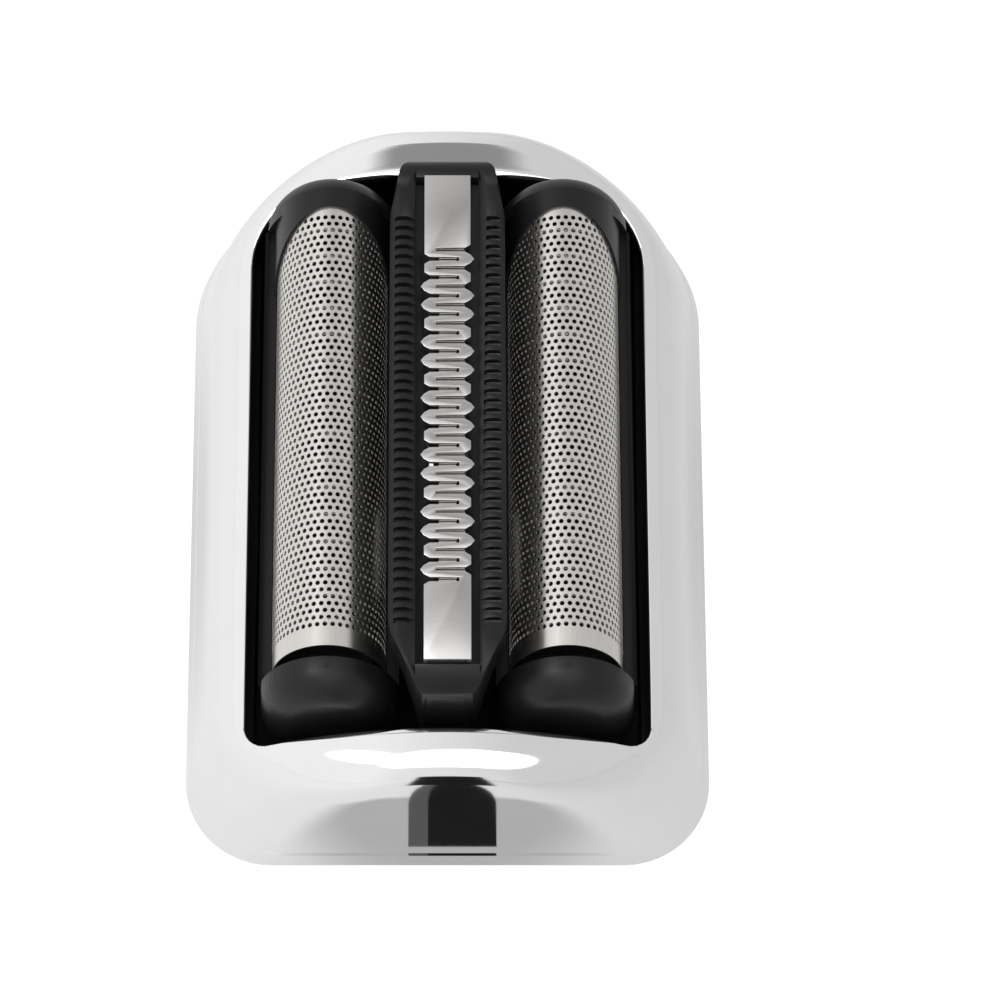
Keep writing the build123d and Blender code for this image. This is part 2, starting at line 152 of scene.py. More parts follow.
class ShaderGroups:
    """Builds the shader node groups that the finishes share, each once."""

    @staticmethod
    def grain() -> bpy.types.NodeTree:
        """A fine moulded grain: a value between two limits and a height.

        Returns:
            The node group with Scale, Low and High inputs and Value and Height outputs.
        """
        tree = bpy.data.node_groups.get("moulded_grain")
        if tree is not None:
            return tree
        tree = bpy.data.node_groups.new("moulded_grain", "ShaderNodeTree")
        ShaderGroups._sockets(tree, (("Scale", 900.0), ("Low", 0.3), ("High", 0.5)), ("Value", "Height"))
        nodes, links = tree.nodes, tree.links
        entry, leave = nodes.new("NodeGroupInput"), nodes.new("NodeGroupOutput")
        place = nodes.new("ShaderNodeTexCoord")
        noise = nodes.new("ShaderNodeTexNoise")
        noise.inputs["Detail"].default_value = 4.0
        noise.inputs["Roughness"].default_value = 0.6
        spread = nodes.new("ShaderNodeMapRange")
        links.new(place.outputs["Object"], noise.inputs["Vector"])
        links.new(entry.outputs["Scale"], noise.inputs["Scale"])
        links.new(noise.outputs["Fac"], spread.inputs["Value"])
        links.new(entry.outputs["Low"], spread.inputs["To Min"])
        links.new(entry.outputs["High"], spread.inputs["To Max"])
        links.new(spread.outputs["Result"], leave.inputs["Value"])
        links.new(noise.outputs["Fac"], leave.inputs["Height"])
        return tree

    @staticmethod
    def brush() -> bpy.types.NodeTree:
        """Drawn or ground lines along one axis of the piece.

        Returns:
            The node group with Across X, Across Y, Low and High inputs and Value and Height outputs.
        """
        tree = bpy.data.node_groups.get("ground_lines")
        if tree is not None:
            return tree
        tree = bpy.data.node_groups.new("ground_lines", "ShaderNodeTree")
        inputs = (("Across X", 40000.0), ("Across Y", 400.0), ("Low", 0.2), ("High", 0.35))
        ShaderGroups._sockets(tree, inputs, ("Value", "Height"))
        nodes, links = tree.nodes, tree.links
        entry, leave = nodes.new("NodeGroupInput"), nodes.new("NodeGroupOutput")
        place = nodes.new("ShaderNodeTexCoord")
        stretch = nodes.new("ShaderNodeCombineXYZ")
        stretch.inputs["Z"].default_value = 4000.0
        scaled = nodes.new("ShaderNodeVectorMath")
        scaled.operation = "MULTIPLY"
        noise = nodes.new("ShaderNodeTexNoise")
        noise.inputs["Scale"].default_value = 1.0
        noise.inputs["Detail"].default_value = 3.0
        spread = nodes.new("ShaderNodeMapRange")
        links.new(entry.outputs["Across X"], stretch.inputs["X"])
        links.new(entry.outputs["Across Y"], stretch.inputs["Y"])
        links.new(place.outputs["Object"], scaled.inputs[0])
        links.new(stretch.outputs["Vector"], scaled.inputs[1])
        links.new(scaled.outputs["Vector"], noise.inputs["Vector"])
        links.new(noise.outputs["Fac"], spread.inputs["Value"])
        links.new(entry.outputs["Low"], spread.inputs["To Min"])
        links.new(entry.outputs["High"], spread.inputs["To Max"])
        links.new(spread.outputs["Result"], leave.inputs["Value"])
        links.new(noise.outputs["Fac"], leave.inputs["Height"])
        return tree

    @staticmethod
    def _sockets(tree: bpy.types.NodeTree, inputs: tuple, outputs: tuple) -> None:
        """Gives a group its float sockets.

        Args:
            tree: The node group.
            inputs: Pairs of input name and default.
            outputs: Output names.
        """
        for name, value in inputs:
            socket = tree.interface.new_socket(name, in_out="INPUT", socket_type="NodeSocketFloat")
            socket.default_value = value
        for name in outputs:
            tree.interface.new_socket(name, in_out="OUTPUT", socket_type="NodeSocketFloat")


@dataclass(frozen=True)
class Finish:
    """A finish of this head: a metal or a moulded plastic with its fine surface.

    Attributes:
        name: Material name.
        dark: Base colour where the fine texture is low.
        pale: Base colour where it is high.
        metallic: 1 for metal, 0 for plastic.
        rough: Lowest and highest roughness.
        lines: Line counts per metre across X and Y, or None for a grain.
        grain: Grain scale per metre.
        bump: Strength of the surface bump.
        depth: Height of the bump in metres.
        specular: Specular level of a plastic.
    """

    name: str
    dark: tuple[float, float, float]
    pale: tuple[float, float, float]
    metallic: float
    rough: tuple[float, float]
    lines: tuple[float, float] | None = None
    grain: float = 900.0
    bump: float = 0.1
    depth: float = 0.00001
    specular: float = 0.5

    def material(self) -> bpy.types.Material:
        """The finish as a material, made once.

        Returns:
            The material.
        """
        made = bpy.data.materials.get(self.name)
        if made is not None:
            return made
        made = bpy.data.materials.new(self.name)
        made.use_nodes = True
        nodes, links = made.node_tree.nodes, made.node_tree.links
        shader = nodes["Principled BSDF"]
        shader.inputs["Metallic"].default_value = self.metallic
        shader.inputs["Specular IOR Level"].default_value = self.specular
        group = nodes.new("ShaderNodeGroup")
        if self.lines is None:
            group.node_tree = ShaderGroups.grain()
            group.inputs["Scale"].default_value = self.grain
        else:
            group.node_tree = ShaderGroups.brush()
            group.inputs["Across X"].default_value = self.lines[0]
            group.inputs["Across Y"].default_value = self.lines[1]
        group.inputs["Low"].default_value = self.rough[0]
        group.inputs["High"].default_value = self.rough[1]
        tint = nodes.new("ShaderNodeMix")
        tint.data_type = "RGBA"
        tint.inputs[6].default_value = (*self.dark, 1.0)
        tint.inputs[7].default_value = (*self.pale, 1.0)
        relief = nodes.new("ShaderNodeBump")
        relief.inputs["Strength"].default_value = self.bump
        relief.inputs["Distance"].default_value = self.depth
        links.new(group.outputs["Height"], tint.inputs[0])
        links.new(tint.outputs[2], shader.inputs["Base Color"])
        links.new(group.outputs["Value"], shader.inputs["Roughness"])
        links.new(group.outputs["Height"], relief.inputs["Height"])
        links.new(relief.outputs["Normal"], shader.inputs["Normal"])
        return made


CHROME = Finish(
    "polished_chrome",
    dark=(0.82, 0.82, 0.83),
    pale=(0.87, 0.87, 0.88),
    metallic=1.0,
    rough=(0.05, 0.09),
    grain=300.0,
    bump=0.02,
)
BLACK = Finish(
    "black_moulding",
    dark=(0.005, 0.005, 0.006),
    pale=(0.010, 0.010, 0.011),
    metallic=0.0,
    rough=(0.32, 0.46),
    grain=9000.0,
    bump=0.25,
    specular=0.25,
)
BLACK_DULL = Finish(
    "black_tray",
    dark=(0.004, 0.004, 0.005),
    pale=(0.008, 0.008, 0.009),
    metallic=0.0,
    rough=(0.5, 0.65),
    grain=6000.0,
    bump=0.2,
    specular=0.15,
)
FOIL = Finish(
    "foil_sheet",
    dark=(0.62, 0.60, 0.57),
    pale=(0.72, 0.70, 0.67),
    metallic=1.0,
    rough=(0.24, 0.36),
    lines=(9000.0, 900.0),
)
BLADE = Finish(
    "ground_blade",
    dark=(0.46, 0.45, 0.44),
    pale=(0.52, 0.51, 0.50),
    metallic=1.0,
    rough=(0.26, 0.32),
    lines=(900.0, 12000.0),
    bump=0.03,
)
SPRING = Finish(
    "drawn_wire",
    dark=(0.42, 0.42, 0.42),
    pale=(0.52, 0.52, 0.52),
    metallic=1.0,
    rough=(0.25, 0.35),
    lines=(8000.0, 8000.0),
)



def dress(piece: bpy.types.Object, finish: Finish) -> None:
    """Gives a piece its one finish.

    Args:
        piece: The mesh object.
        finish: The finish.
    """
    piece.data.materials.clear()
    piece.data.materials.append(finish.material())


@dataclass
class Bezel:
    """The chrome shell as one smooth ring whose section follows the arched rim (sizes in mm)."""

    length: float = 44.8
    width: float = 32.2
    near_corner: float = 5.4
    far_corner: float = 8.5
    top_corner: float = 11.0
    side_lean: float = 3.0
    end_lean: float = 0.6
    lean_height: float = 14.0
    rim_height: float = 13.2
    arch: float = 20.0
    thickness: float = 1.6
    wall: float = 1.3
    opening_width: float = 24.2
    opening_length: float = 36.4
    opening_near_corner: float = 1.5
    opening_far_corner: float = 4.2
    inner_round: float = 0.5
    outer_round: tuple[float, float] = (2.4, 1.4)
    wall_round: tuple[float, float] = (3.4, 2.0)
    tongue_low: float = 6.4
    tongue_width: float = 2.9
    tongue_middle: float = 3.55
    tongue_thickness: float = 0.5
    band_height: float = 1.6
    band_step: float = 0.08
    band_slope: float = 0.25
    corner_steps: int = 36
    side_steps: int = 24
    end_steps: int = 24
    lip_steps: int = 10
    rim_steps: int = 5
    bend_steps: int = 16
    wall_steps: int = 8
    bend_share: float = 0.85
    crease: float = 15.0

    def stations(self) -> list[Station]:
        """Places round the loop: quadrant signs and a share along that quadrant's runs."""
        runs = []
        half_side, half_end = self.side_steps // 2, self.end_steps // 2
        quadrant = [k / half_side for k in range(half_side)]
        quadrant += [1 + k / self.corner_steps for k in range(self.corner_steps)]
        quadrant += [2 + k / half_end for k in range(half_end)]
        for sx, sy, forward in ((1, 1, True), (-1, 1, False), (-1, -1, True), (1, -1, False)):
            order = quadrant if forward else [3 - share for share in quadrant]
            runs += [(sx, sy, share) for share in order]
        return runs

    def contour(self, station: Station, half: tuple[float, float], corner: float) -> tuple[float, float]:
        """A point on a rounded rectangle at a station.

        Args:
            station: Quadrant signs and share.
            half: Half width and half length.
            corner: Corner radius.

        Returns:
            X and Y in mm.
        """
        sx, sy, share = station
        straight_x, straight_y = half[0] - corner, half[1] - corner
        if share <= 1:
            x, y = half[0], straight_y * share
        elif share <= 2:
            turn = (share - 1) * pi / 2
            x, y = straight_x + corner * cos(turn), straight_y + corner * sin(turn)
        else:
            x, y = straight_x * (3 - share), half[1]
        return sx * x, sy * y

    def wall_point(self, station: Station, z: float, inset: float) -> Vector:
        """A point on the leaning wall at a height, drawn in by an inset."""
        share = z / self.lean_height
        half_width = self.width / 2 - inset - self.side_lean * share
        half_length = self.length / 2 - inset - self.end_lean * share
        base = self.far_corner if station[1] > 0 else self.near_corner
        corner = base + (self.top_corner - base) * share - inset
        return Vector((*self.contour(station, (half_width, half_length), corner), z))

    def arch_z(self, x: float, drop: float = 0.0) -> float:
        """Height of the rim's arch, or of a parallel arch below it, across the head."""
        return self.rim_height - self.arch + sqrt((self.arch - drop) ** 2 - x * x)

    def rim_edge(self, station: Station, inset: float, drop: float) -> Vector:
        """Where the leaning wall meets the arch at a station."""
        point = self.wall_point(station, 10.0, inset)
        for _ in range(12):
            point = self.wall_point(station, self.arch_z(point.x, drop), inset)
        return point

    @staticmethod
    def outward(station: Station) -> Vector:
        """The wall's level outward direction at a station."""
        sx, sy, share = station
        turn = min(max(share - 1, 0.0), 1.0) * pi / 2
        return Vector((sx * cos(turn), sy * sin(turn), 0.0))

    def past_opening(self, x: float, y: float) -> float:
        """How far a point lies outside the opening's rounded outline, negative inside it."""
        corner = self.opening_far_corner if y > 0 else self.opening_near_corner
        over_x = abs(x) - self.opening_width / 2 + corner
        over_y = abs(y) - self.opening_length / 2 + corner
        beyond = sqrt(max(over_x, 0.0) ** 2 + max(over_y, 0.0) ** 2)
        return beyond + min(max(over_x, over_y), 0.0) - corner

    def mouth(self, edge: Vector, outward: Vector) -> Vector:
        """The opening's edge straight inwards from a point of the rim's outer edge."""
        near, far = 0.0, self.opening_width / 4
        for _ in range(40):
            middle = (near + far) / 2
            spot = edge - outward * middle
            if self.past_opening(spot.x, spot.y) > 0:
                near = middle
            else:
                far = middle
        return Vector((edge.x - outward.x * far, edge.y - outward.y * far, 0.0))

    def section(self, station: Station) -> list[Vector]:
        """The shell's closed section at a station, over the rim and back inside."""
        edge = self.rim_edge(station, self.band_step, 0.0)
        outward = self.outward(station)
        mouth = self.mouth(edge, outward)
        low = mouth.copy()
        low.z = self.arch_z(mouth.x, self.thickness)
        points = [low]
        lip = mouth.copy()
        lip.z = self.arch_z(mouth.x)
        down = lip - Vector((0, 0, self.inner_round))
        across = mouth + outward * self.inner_round
        across.z = self.arch_z(across.x)
        points += self.bend(down, lip, across, self.lip_steps)
        room = Vector((edge.x - across.x, edge.y - across.y)).length
        share = 0.5 + edge.y / self.length
        rounds = (self.outer_round, self.wall_round)
        outer_round, wall_round = (near + (far - near) * share for near, far in rounds)
        inside = edge - outward * min(outer_round, self.bend_share * room)
        inside.z = self.arch_z(inside.x)
        below = self.wall_point(station, edge.z - wall_round, self.band_step)
        for k in range(1, self.rim_steps):
            step = across.lerp(inside, k / self.rim_steps)
            step.z = self.arch_z(step.x)
            points.append(step)
        points += self.bend(inside, edge, below, self.bend_steps)
        foot = self.wall_point(station, self.band_height + self.band_slope, self.band_step)
        points += [below.lerp(foot, k / self.wall_steps) for k in range(1, self.wall_steps)] + [foot]
        for z, inset in ((self.band_height, 0.0), (0.0, 0.0), (0.0, self.wall)):
            points.append(self.wall_point(station, z, inset))
        under = self.rim_edge(station, self.wall, self.thickness)
        points += [points[-1].lerp(under, 0.5), under]
        return points

    @staticmethod
    def bend(start: Vector, corner: Vector, end: Vector, count: int) -> list[Vector]:
        """Points of a smooth bend that leaves start and reaches end, both towards a corner."""
        run = []
        for k in range(count + 1):
            t = k / count
            run.append(start * (1 - t) ** 2 + corner * (2 * t * (1 - t)) + end * t * t)
        return run

    def build(self) -> bpy.types.Object:
        """Models the shell from a torus whose sections are set to the bezel's own.

        Returns:
            The bezel object.
        """
        sections = [self.section(station) for station in self.stations()]
        deselect_all()
        bpy.ops.mesh.primitive_torus_add(
            major_segments=len(sections),
            minor_segments=len(sections[0]),
            major_radius=self.length / 2 * MM,
            minor_radius=self.wall * MM,
        )
        piece = bpy.context.object
        piece.name = "chrome_bezel"
        places = [point * MM for section in sections for point in section]
        for vertex, place in zip(piece.data.vertices, places):
            vertex.co = place
        piece.data.update()
        join(piece, self.tongues())
        tidy_mesh(piece, RING_MERGE, self.crease)
        dress(piece, CHROME)
        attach(piece, "housing")
        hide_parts("bezel")
        return piece

    def tongues(self) -> list[bpy.types.Object]:
        """The four tongues that hang from the opening's ends between the guide posts."""
        made = []
        for side in (-1, 1):
            for end in (-1, 1):
                deselect_all()
                bpy.ops.mesh.primitive_cube_add(size=1.0)
                tongue = bpy.context.object
                middle = end * (self.opening_length + self.tongue_thickness) / 2
                for vertex in tongue.data.vertices:
                    x = side * self.tongue_middle + vertex.co.x * self.tongue_width
                    y = middle + vertex.co.y * self.tongue_thickness
                    z = self.tongue_low if vertex.co.z < 0 else self.arch_z(x, self.thickness / 2)
                    vertex.co = Vector((x, y, z)) * MM
                made.append(tongue)
        return made


@dataclass
class Foil:
    """One foil with its full pattern of fine holes (sizes in mm)."""

    side: Side
    offset: float = 7.1
    radius: float = 3.4
    rise: float = 5.4
    crest: float = 16.6
    length: float = 28.9
    leg_bottom: float = 8.5
    thickness: float = 0.12
    rows: int = 63
    columns: int = 30
    row_pitch: float = 0.437
    column_pitch: float = 0.4605
    hole: float = 0.15
    crease: float = 40.0

    def cell(self) -> bpy.types.Object:
        """One flat cell of the sheet round its hole: a ring of eight edges drawn out to the cell's border."""
        deselect_all()
        bpy.ops.mesh.primitive_circle_add(vertices=8, radius=self.hole * MM, fill_type="NOTHING")
        piece = bpy.context.object
        bpy.ops.object.mode_set(mode="EDIT")
        bpy.ops.mesh.select_all(action="SELECT")
        bpy.ops.mesh.extrude_edges_move()
        bpy.ops.object.mode_set(mode="OBJECT")
        for vertex in piece.data.vertices[8:]:
            spot = vertex.co.normalized()
            reach = [0 if abs(value) < 0.3 else (1 if value > 0 else -1) for value in spot[:2]]
            vertex.co.x = reach[0] * self.column_pitch / 2 * MM
            vertex.co.y = reach[1] * self.row_pitch / 2 * MM
        return piece

    def array(self, piece: bpy.types.Object, count: int, step: tuple[float, float]) -> None:
        """Repeats a piece with its own mesh by a step in mm."""
        modifier = piece.modifiers.new("repeat", "ARRAY")
        modifier.count = count
        modifier.use_relative_offset = False
        modifier.use_constant_offset = True
        modifier.constant_offset_displace = (step[0] * MM, step[1] * MM, 0.0)
        apply_modifiers(piece)

    def field(self) -> bpy.types.Object:
        """The flat field of staggered rows, centred on the origin."""
        row = self.cell()
        self.array(row, self.columns, (self.column_pitch, 0.0))
        focus(row)
        bpy.ops.object.mode_set(mode="EDIT")
        bpy.ops.mesh.select_all(action="SELECT")
        bpy.ops.mesh.duplicate_move(
            TRANSFORM_OT_translate={"value": (self.column_pitch / 2 * MM, self.row_pitch * MM, 0.0)}
        )
        bpy.ops.object.mode_set(mode="OBJECT")
        self.array(row, (self.rows + 1) // 2, (0.0, 2 * self.row_pitch))
        across = -(self.columns - 0.5) * self.column_pitch / 2 * MM
        along = -(self.rows - 1) * self.row_pitch / 2 * MM
        for vertex in row.data.vertices:
            vertex.co.x += across
            vertex.co.y += along
        return row

    def plain(
        self, low: tuple[float, float], high: tuple[float, float], cuts: tuple[int, int]
    ) -> bpy.types.Object:
        """A plain flat stretch of sheet between two corners in mm, divided for bending."""
        deselect_all()
        bpy.ops.mesh.primitive_grid_add(x_subdivisions=cuts[0], y_subdivisions=cuts[1], size=1.0)
        piece = bpy.context.object
        for vertex in piece.data.vertices:
            vertex.co.x = (low[0] + (vertex.co.x + 0.5) * (high[0] - low[0])) * MM
            vertex.co.y = (low[1] + (vertex.co.y + 0.5) * (high[1] - low[1])) * MM
        return piece

    def quarter(self, steps: int = 360) -> list[tuple[float, float, float]]:
        """Points down one side of the tall arch: distance along the sheet, X and Z in mm."""
        run, length = [(0.0, 0.0, self.crest)], 0.0
        for k in range(1, steps + 1):
            turn = k / steps * pi / 2
            x, z = self.radius * sin(turn), self.crest - self.rise + self.rise * cos(turn)
            length += sqrt((x - run[-1][1]) ** 2 + (z - run[-1][2]) ** 2)
            run.append((length, x, z))
        return run

    def arched(self, across: float, run: list[tuple[float, float, float]]) -> tuple[float, float]:
        """Where a distance along the sheet lies on the arch and its straight legs, in mm."""
        side = 1 if across >= 0 else -1
        reach = abs(across)
        if reach >= run[-1][0]:
            return side * self.radius, self.crest - self.rise - (reach - run[-1][0])
        place = bisect([step[0] for step in run], reach) - 1
        low, high = run[place], run[place + 1]
        share = (reach - low[0]) / (high[0] - low[0])
        return side * (low[1] + share * (high[1] - low[1])), low[2] + share * (high[2] - low[2])

    def build(self) -> bpy.types.Object:
        """Models the foil flat, joins its stretches and bends it over the arch.

        Returns:
            The foil object.
        """
        piece = self.field()
        edge = self.rows * self.row_pitch / 2
        run = self.quarter()
        reach = run[-1][0] + self.crest - self.rise - self.leg_bottom
        brim = (self.columns - 0.5) * self.column_pitch / 2
        stretches = [
            self.plain((-reach, edge), (reach, self.length / 2), (72, 2)),
            self.plain((-reach, -self.length / 2), (reach, -edge + self.row_pitch), (72, 2)),
            self.plain((-reach, -edge), (-brim, edge), (12, 2)),
            self.plain((brim, -edge), (reach, edge), (12, 2)),
        ]
        join(piece, stretches)
        piece.name = "perforated_foil_" + self.side.word
        for vertex in piece.data.vertices:
            x, z = self.arched(vertex.co.x / MM, run)
            vertex.co = Vector((x * MM, vertex.co.y, z * MM))
        tidy_mesh(piece, SHEET_MERGE, self.crease)
        sheet = piece.modifiers.new("sheet", "SOLIDIFY")
        sheet.thickness = self.thickness * MM
        sheet.offset = -1.0
        apply_modifiers(piece)
        for vertex in piece.data.vertices:
            vertex.co.x += self.side.value * self.offset * MM
        focus(piece)
        bpy.ops.object.shade_smooth_by_angle(angle=radians(self.crease))
        dress(piece, FOIL)
        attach(piece, self.side.word + "_cartridge")
        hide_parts("foil_" + self.side.word)
        return piece


@dataclass
class CarriedNode:
    """A rigid node kept in its own shape, joined and shaded as a finished piece."""

    node: str
    body: str
    finish: Finish
    slot: Slot
    bevel: float = 0.0
    angle: float = 32.0

    def shape(self, piece: bpy.types.Object) -> None:
        """Leaves the node's own shape; pieces that differ from it change it here."""

    def build(self) -> bpy.types.Object:
        """Makes the piece that stands for the node.

        Returns:
            The new object.
        """
        piece = merged_copy(self.node, "finished_" + self.node)
        self.shape(piece)
        if self.bevel > 0:
            edges = piece.modifiers.new("edges", "BEVEL")
            edges.width = self.bevel * MM
            edges.segments = 2
            edges.limit_method = "ANGLE"
            edges.angle_limit = radians(self.angle)
            apply_modifiers(piece)
        focus(piece)
        bpy.ops.object.shade_smooth_by_angle(angle=radians(self.angle))
        dress(piece, self.finish)
        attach(piece, self.body)
        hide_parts(self.node)
        return piece


@dataclass
class FloatSpring(CarriedNode):
    """Coil springs, each piece with a mesh of its own (sizes in mm)."""

    joint: str = ""
    travel: float = 1.9

    def build(self) -> bpy.types.Object:
        """Makes the springs and gives them a mesh of their own.

        Returns:
            The new object.
        """
        piece = super().build()
        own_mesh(piece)
        return piece


@dataclass
class FoilFrame(CarriedNode):
    """A cartridge frame whose end caps are drawn to the foil's taller arch (sizes in mm)."""

    offset: float = 7.1
    half_width: float = 4.2
    spring: float = 11.8
    foot: float = 10.0
    rise: float = 6.0
    rail_top: float = 11.4
    cap_start: float = 14.9
    cap_reach: float = 0.6
    hood_radius: float = 3.58
    hood_rise: float = 5.56
    hood_foot: float = 11.2
    hood_turn: float = 90.0
    hood_ends: tuple[float, float] = (14.2, 15.5)
    hood_back: float = 3.6
    hood_thickness: float = 0.16

    def hood(self, middle: float) -> bpy.types.Object:
        """The rim of the far cap that laps over the foil's end and runs down its sides."""
        deselect_all()
        bpy.ops.mesh.primitive_grid_add(x_subdivisions=40, y_subdivisions=4, size=2.0)
        piece = bpy.context.object
        front, back = self.hood_ends
        for vertex in piece.data.vertices:
            turn = vertex.co.x * radians(self.hood_turn)
            start = front - self.hood_back * (1 - cos(turn))
            x, z = middle + self.hood_radius * sin(turn), self.hood_foot + self.hood_rise * cos(turn)
            vertex.co = Vector((x, start + (back - start) * (vertex.co.y + 1) / 2, z)) * MM
        sheet = piece.modifiers.new("sheet", "SOLIDIFY")
        sheet.thickness = self.hood_thickness * MM
        sheet.offset = -1.0
        apply_modifiers(piece)
        return piece

    def shape(self, piece: bpy.types.Object) -> None:
        """Draws the caps in towards their crest, closes them up to the foil's end and adds the far rim."""
        middle = self.offset if self.node.endswith("right") else -self.offset
        for vertex in piece.data.vertices:
            x, y, z = (value / MM for value in vertex.co)
            if z <= self.rail_top:
                continue
            if self.cap_start < abs(y) < self.cap_start + self.cap_reach:
                y = self.cap_start if y > 0 else -self.cap_start
            if z > self.spring:
                round_half = sqrt(max(self.half_width ** 2 - (z - self.spring) ** 2, 0.01))
                tall_half = self.half_width * sqrt(max(1 - ((z - self.foot) / self.rise) ** 2, 0.0))
                x = middle + (x - middle) * min(tall_half / round_half, 1.0)
            vertex.co = Vector((x, y, z)) * MM
        join(piece, [self.hood(middle)])
        tidy_mesh(piece, NODE_MERGE, self.angle)


@dataclass
class TrimmerFrame(CarriedNode):
    """The trimmer's frame with its far nose held high behind the comb (sizes in mm)."""

    nose_start: float = 15.4
    nose_low: float = 13.4
    nose_lift: float = 0.7
    nose_top: float = 17.6

    def shape(self, piece: bpy.types.Object) -> None:
        """Lifts the far nose."""
        for vertex in piece.data.vertices:
            past = vertex.co.y / MM - self.nose_start
            height = vertex.co.z / MM
            if past > 0 and height > self.nose_low:
                vertex.co.z = max(height, min(height + self.nose_lift * past, self.nose_top)) * MM


@dataclass
class CutterBlades(CarriedNode):
    """The inner blades, drawn in to stay under the foil's taller arch (sizes in mm)."""

    offset: float = 7.1
    radius: float = 3.1
    axis: float = 13.2
    foot: float = 11.2
    foil_radius: float = 3.4
    foil_rise: float = 5.4
    clearance: float = 0.32

    def shape(self, piece: bpy.types.Object) -> None:
        """Narrows the blades towards their crest."""
        middle = self.offset if self.node.endswith("right") else -self.offset
        for vertex in piece.data.vertices:
            x, y, z = (value / MM for value in vertex.co)
            if z <= self.foot:
                continue
            round_half = sqrt(max(self.radius ** 2 - max(z - self.axis, 0.0) ** 2, 0.01))
            reach, rise = self.foil_radius - self.clearance, self.foil_rise - self.clearance
            tall_half = reach * sqrt(max(1 - ((z - self.foot) / rise) ** 2, 0.0))
            vertex.co.x = (middle + (x - middle) * min(tall_half / round_half, 1.0)) * MM


@dataclass(frozen=True)
class Card:
    """A studio card that only the polished metal mirrors (sizes in mm).

    Attributes:
        name: The card's name.
        place: Its middle.
        size: Its width and depth.
        tone: Its brightness.
        soft: Whether it fades out towards an oval edge.
        upright: Whether it stands on edge, facing the head.
    """

    name: str
    place: tuple[float, float, float]
    size: tuple[float, float]
    tone: float
    soft: bool = True
    upright: bool = False

    def paint(self) -> bpy.types.Material:
        """The card's plain tone, faded towards its edge where it is soft."""
        made = bpy.data.materials.new(self.name)
        made.use_nodes = True
        nodes, links = made.node_tree.nodes, made.node_tree.links
        shader = nodes["Principled BSDF"]
        shader.inputs["Base Color"].default_value = (0.0, 0.0, 0.0, 1.0)
        shader.inputs["Specular IOR Level"].default_value = 0.0
        shader.inputs["Emission Color"].default_value = (1.0, 1.0, 1.0, 1.0)
        shader.inputs["Emission Strength"].default_value = self.tone
        if self.soft:
            place = nodes.new("ShaderNodeTexCoord")
            centred = nodes.new("ShaderNodeVectorMath")
            centred.operation = "SUBTRACT"
            centred.inputs[1].default_value = Vector(self.place) * MM
            spread = nodes.new("ShaderNodeVectorMath")
            spread.operation = "DIVIDE"
            spread.inputs[1].default_value = (self.size[0] / 2 * MM, self.size[1] / 2 * MM, 1.0)
            reach = nodes.new("ShaderNodeVectorMath")
            reach.operation = "LENGTH"
            fade = nodes.new("ShaderNodeMapRange")
            fade.interpolation_type = "SMOOTHSTEP"
            fade.inputs["From Min"].default_value = 1.0
            fade.inputs["From Max"].default_value = 0.5
            links.new(place.outputs["Object"], centred.inputs[0])
            links.new(centred.outputs["Vector"], spread.inputs[0])
            links.new(spread.outputs["Vector"], reach.inputs[0])
            links.new(reach.outputs["Value"], fade.inputs["Value"])
            links.new(fade.outputs["Result"], shader.inputs["Alpha"])
        return made

    def build(self) -> bpy.types.Object:
        """Adds the card to the stage, hidden from the camera and from shadows."""
        deselect_all()
        bpy.ops.mesh.primitive_plane_add(size=1.0)
        card = bpy.context.object
        card.name = self.name
        for vertex in card.data.vertices:
            wide, deep = vertex.co.x * self.size[0], vertex.co.y * self.size[1]
            spot = Vector((wide, 0.0, deep) if self.upright else (wide, deep, 0.0))
            vertex.co = (spot + Vector(self.place)) * MM
        card.data.materials.append(self.paint())
        card.visible_camera = False
        card.visible_diffuse = False
        card.visible_shadow = False
        return card


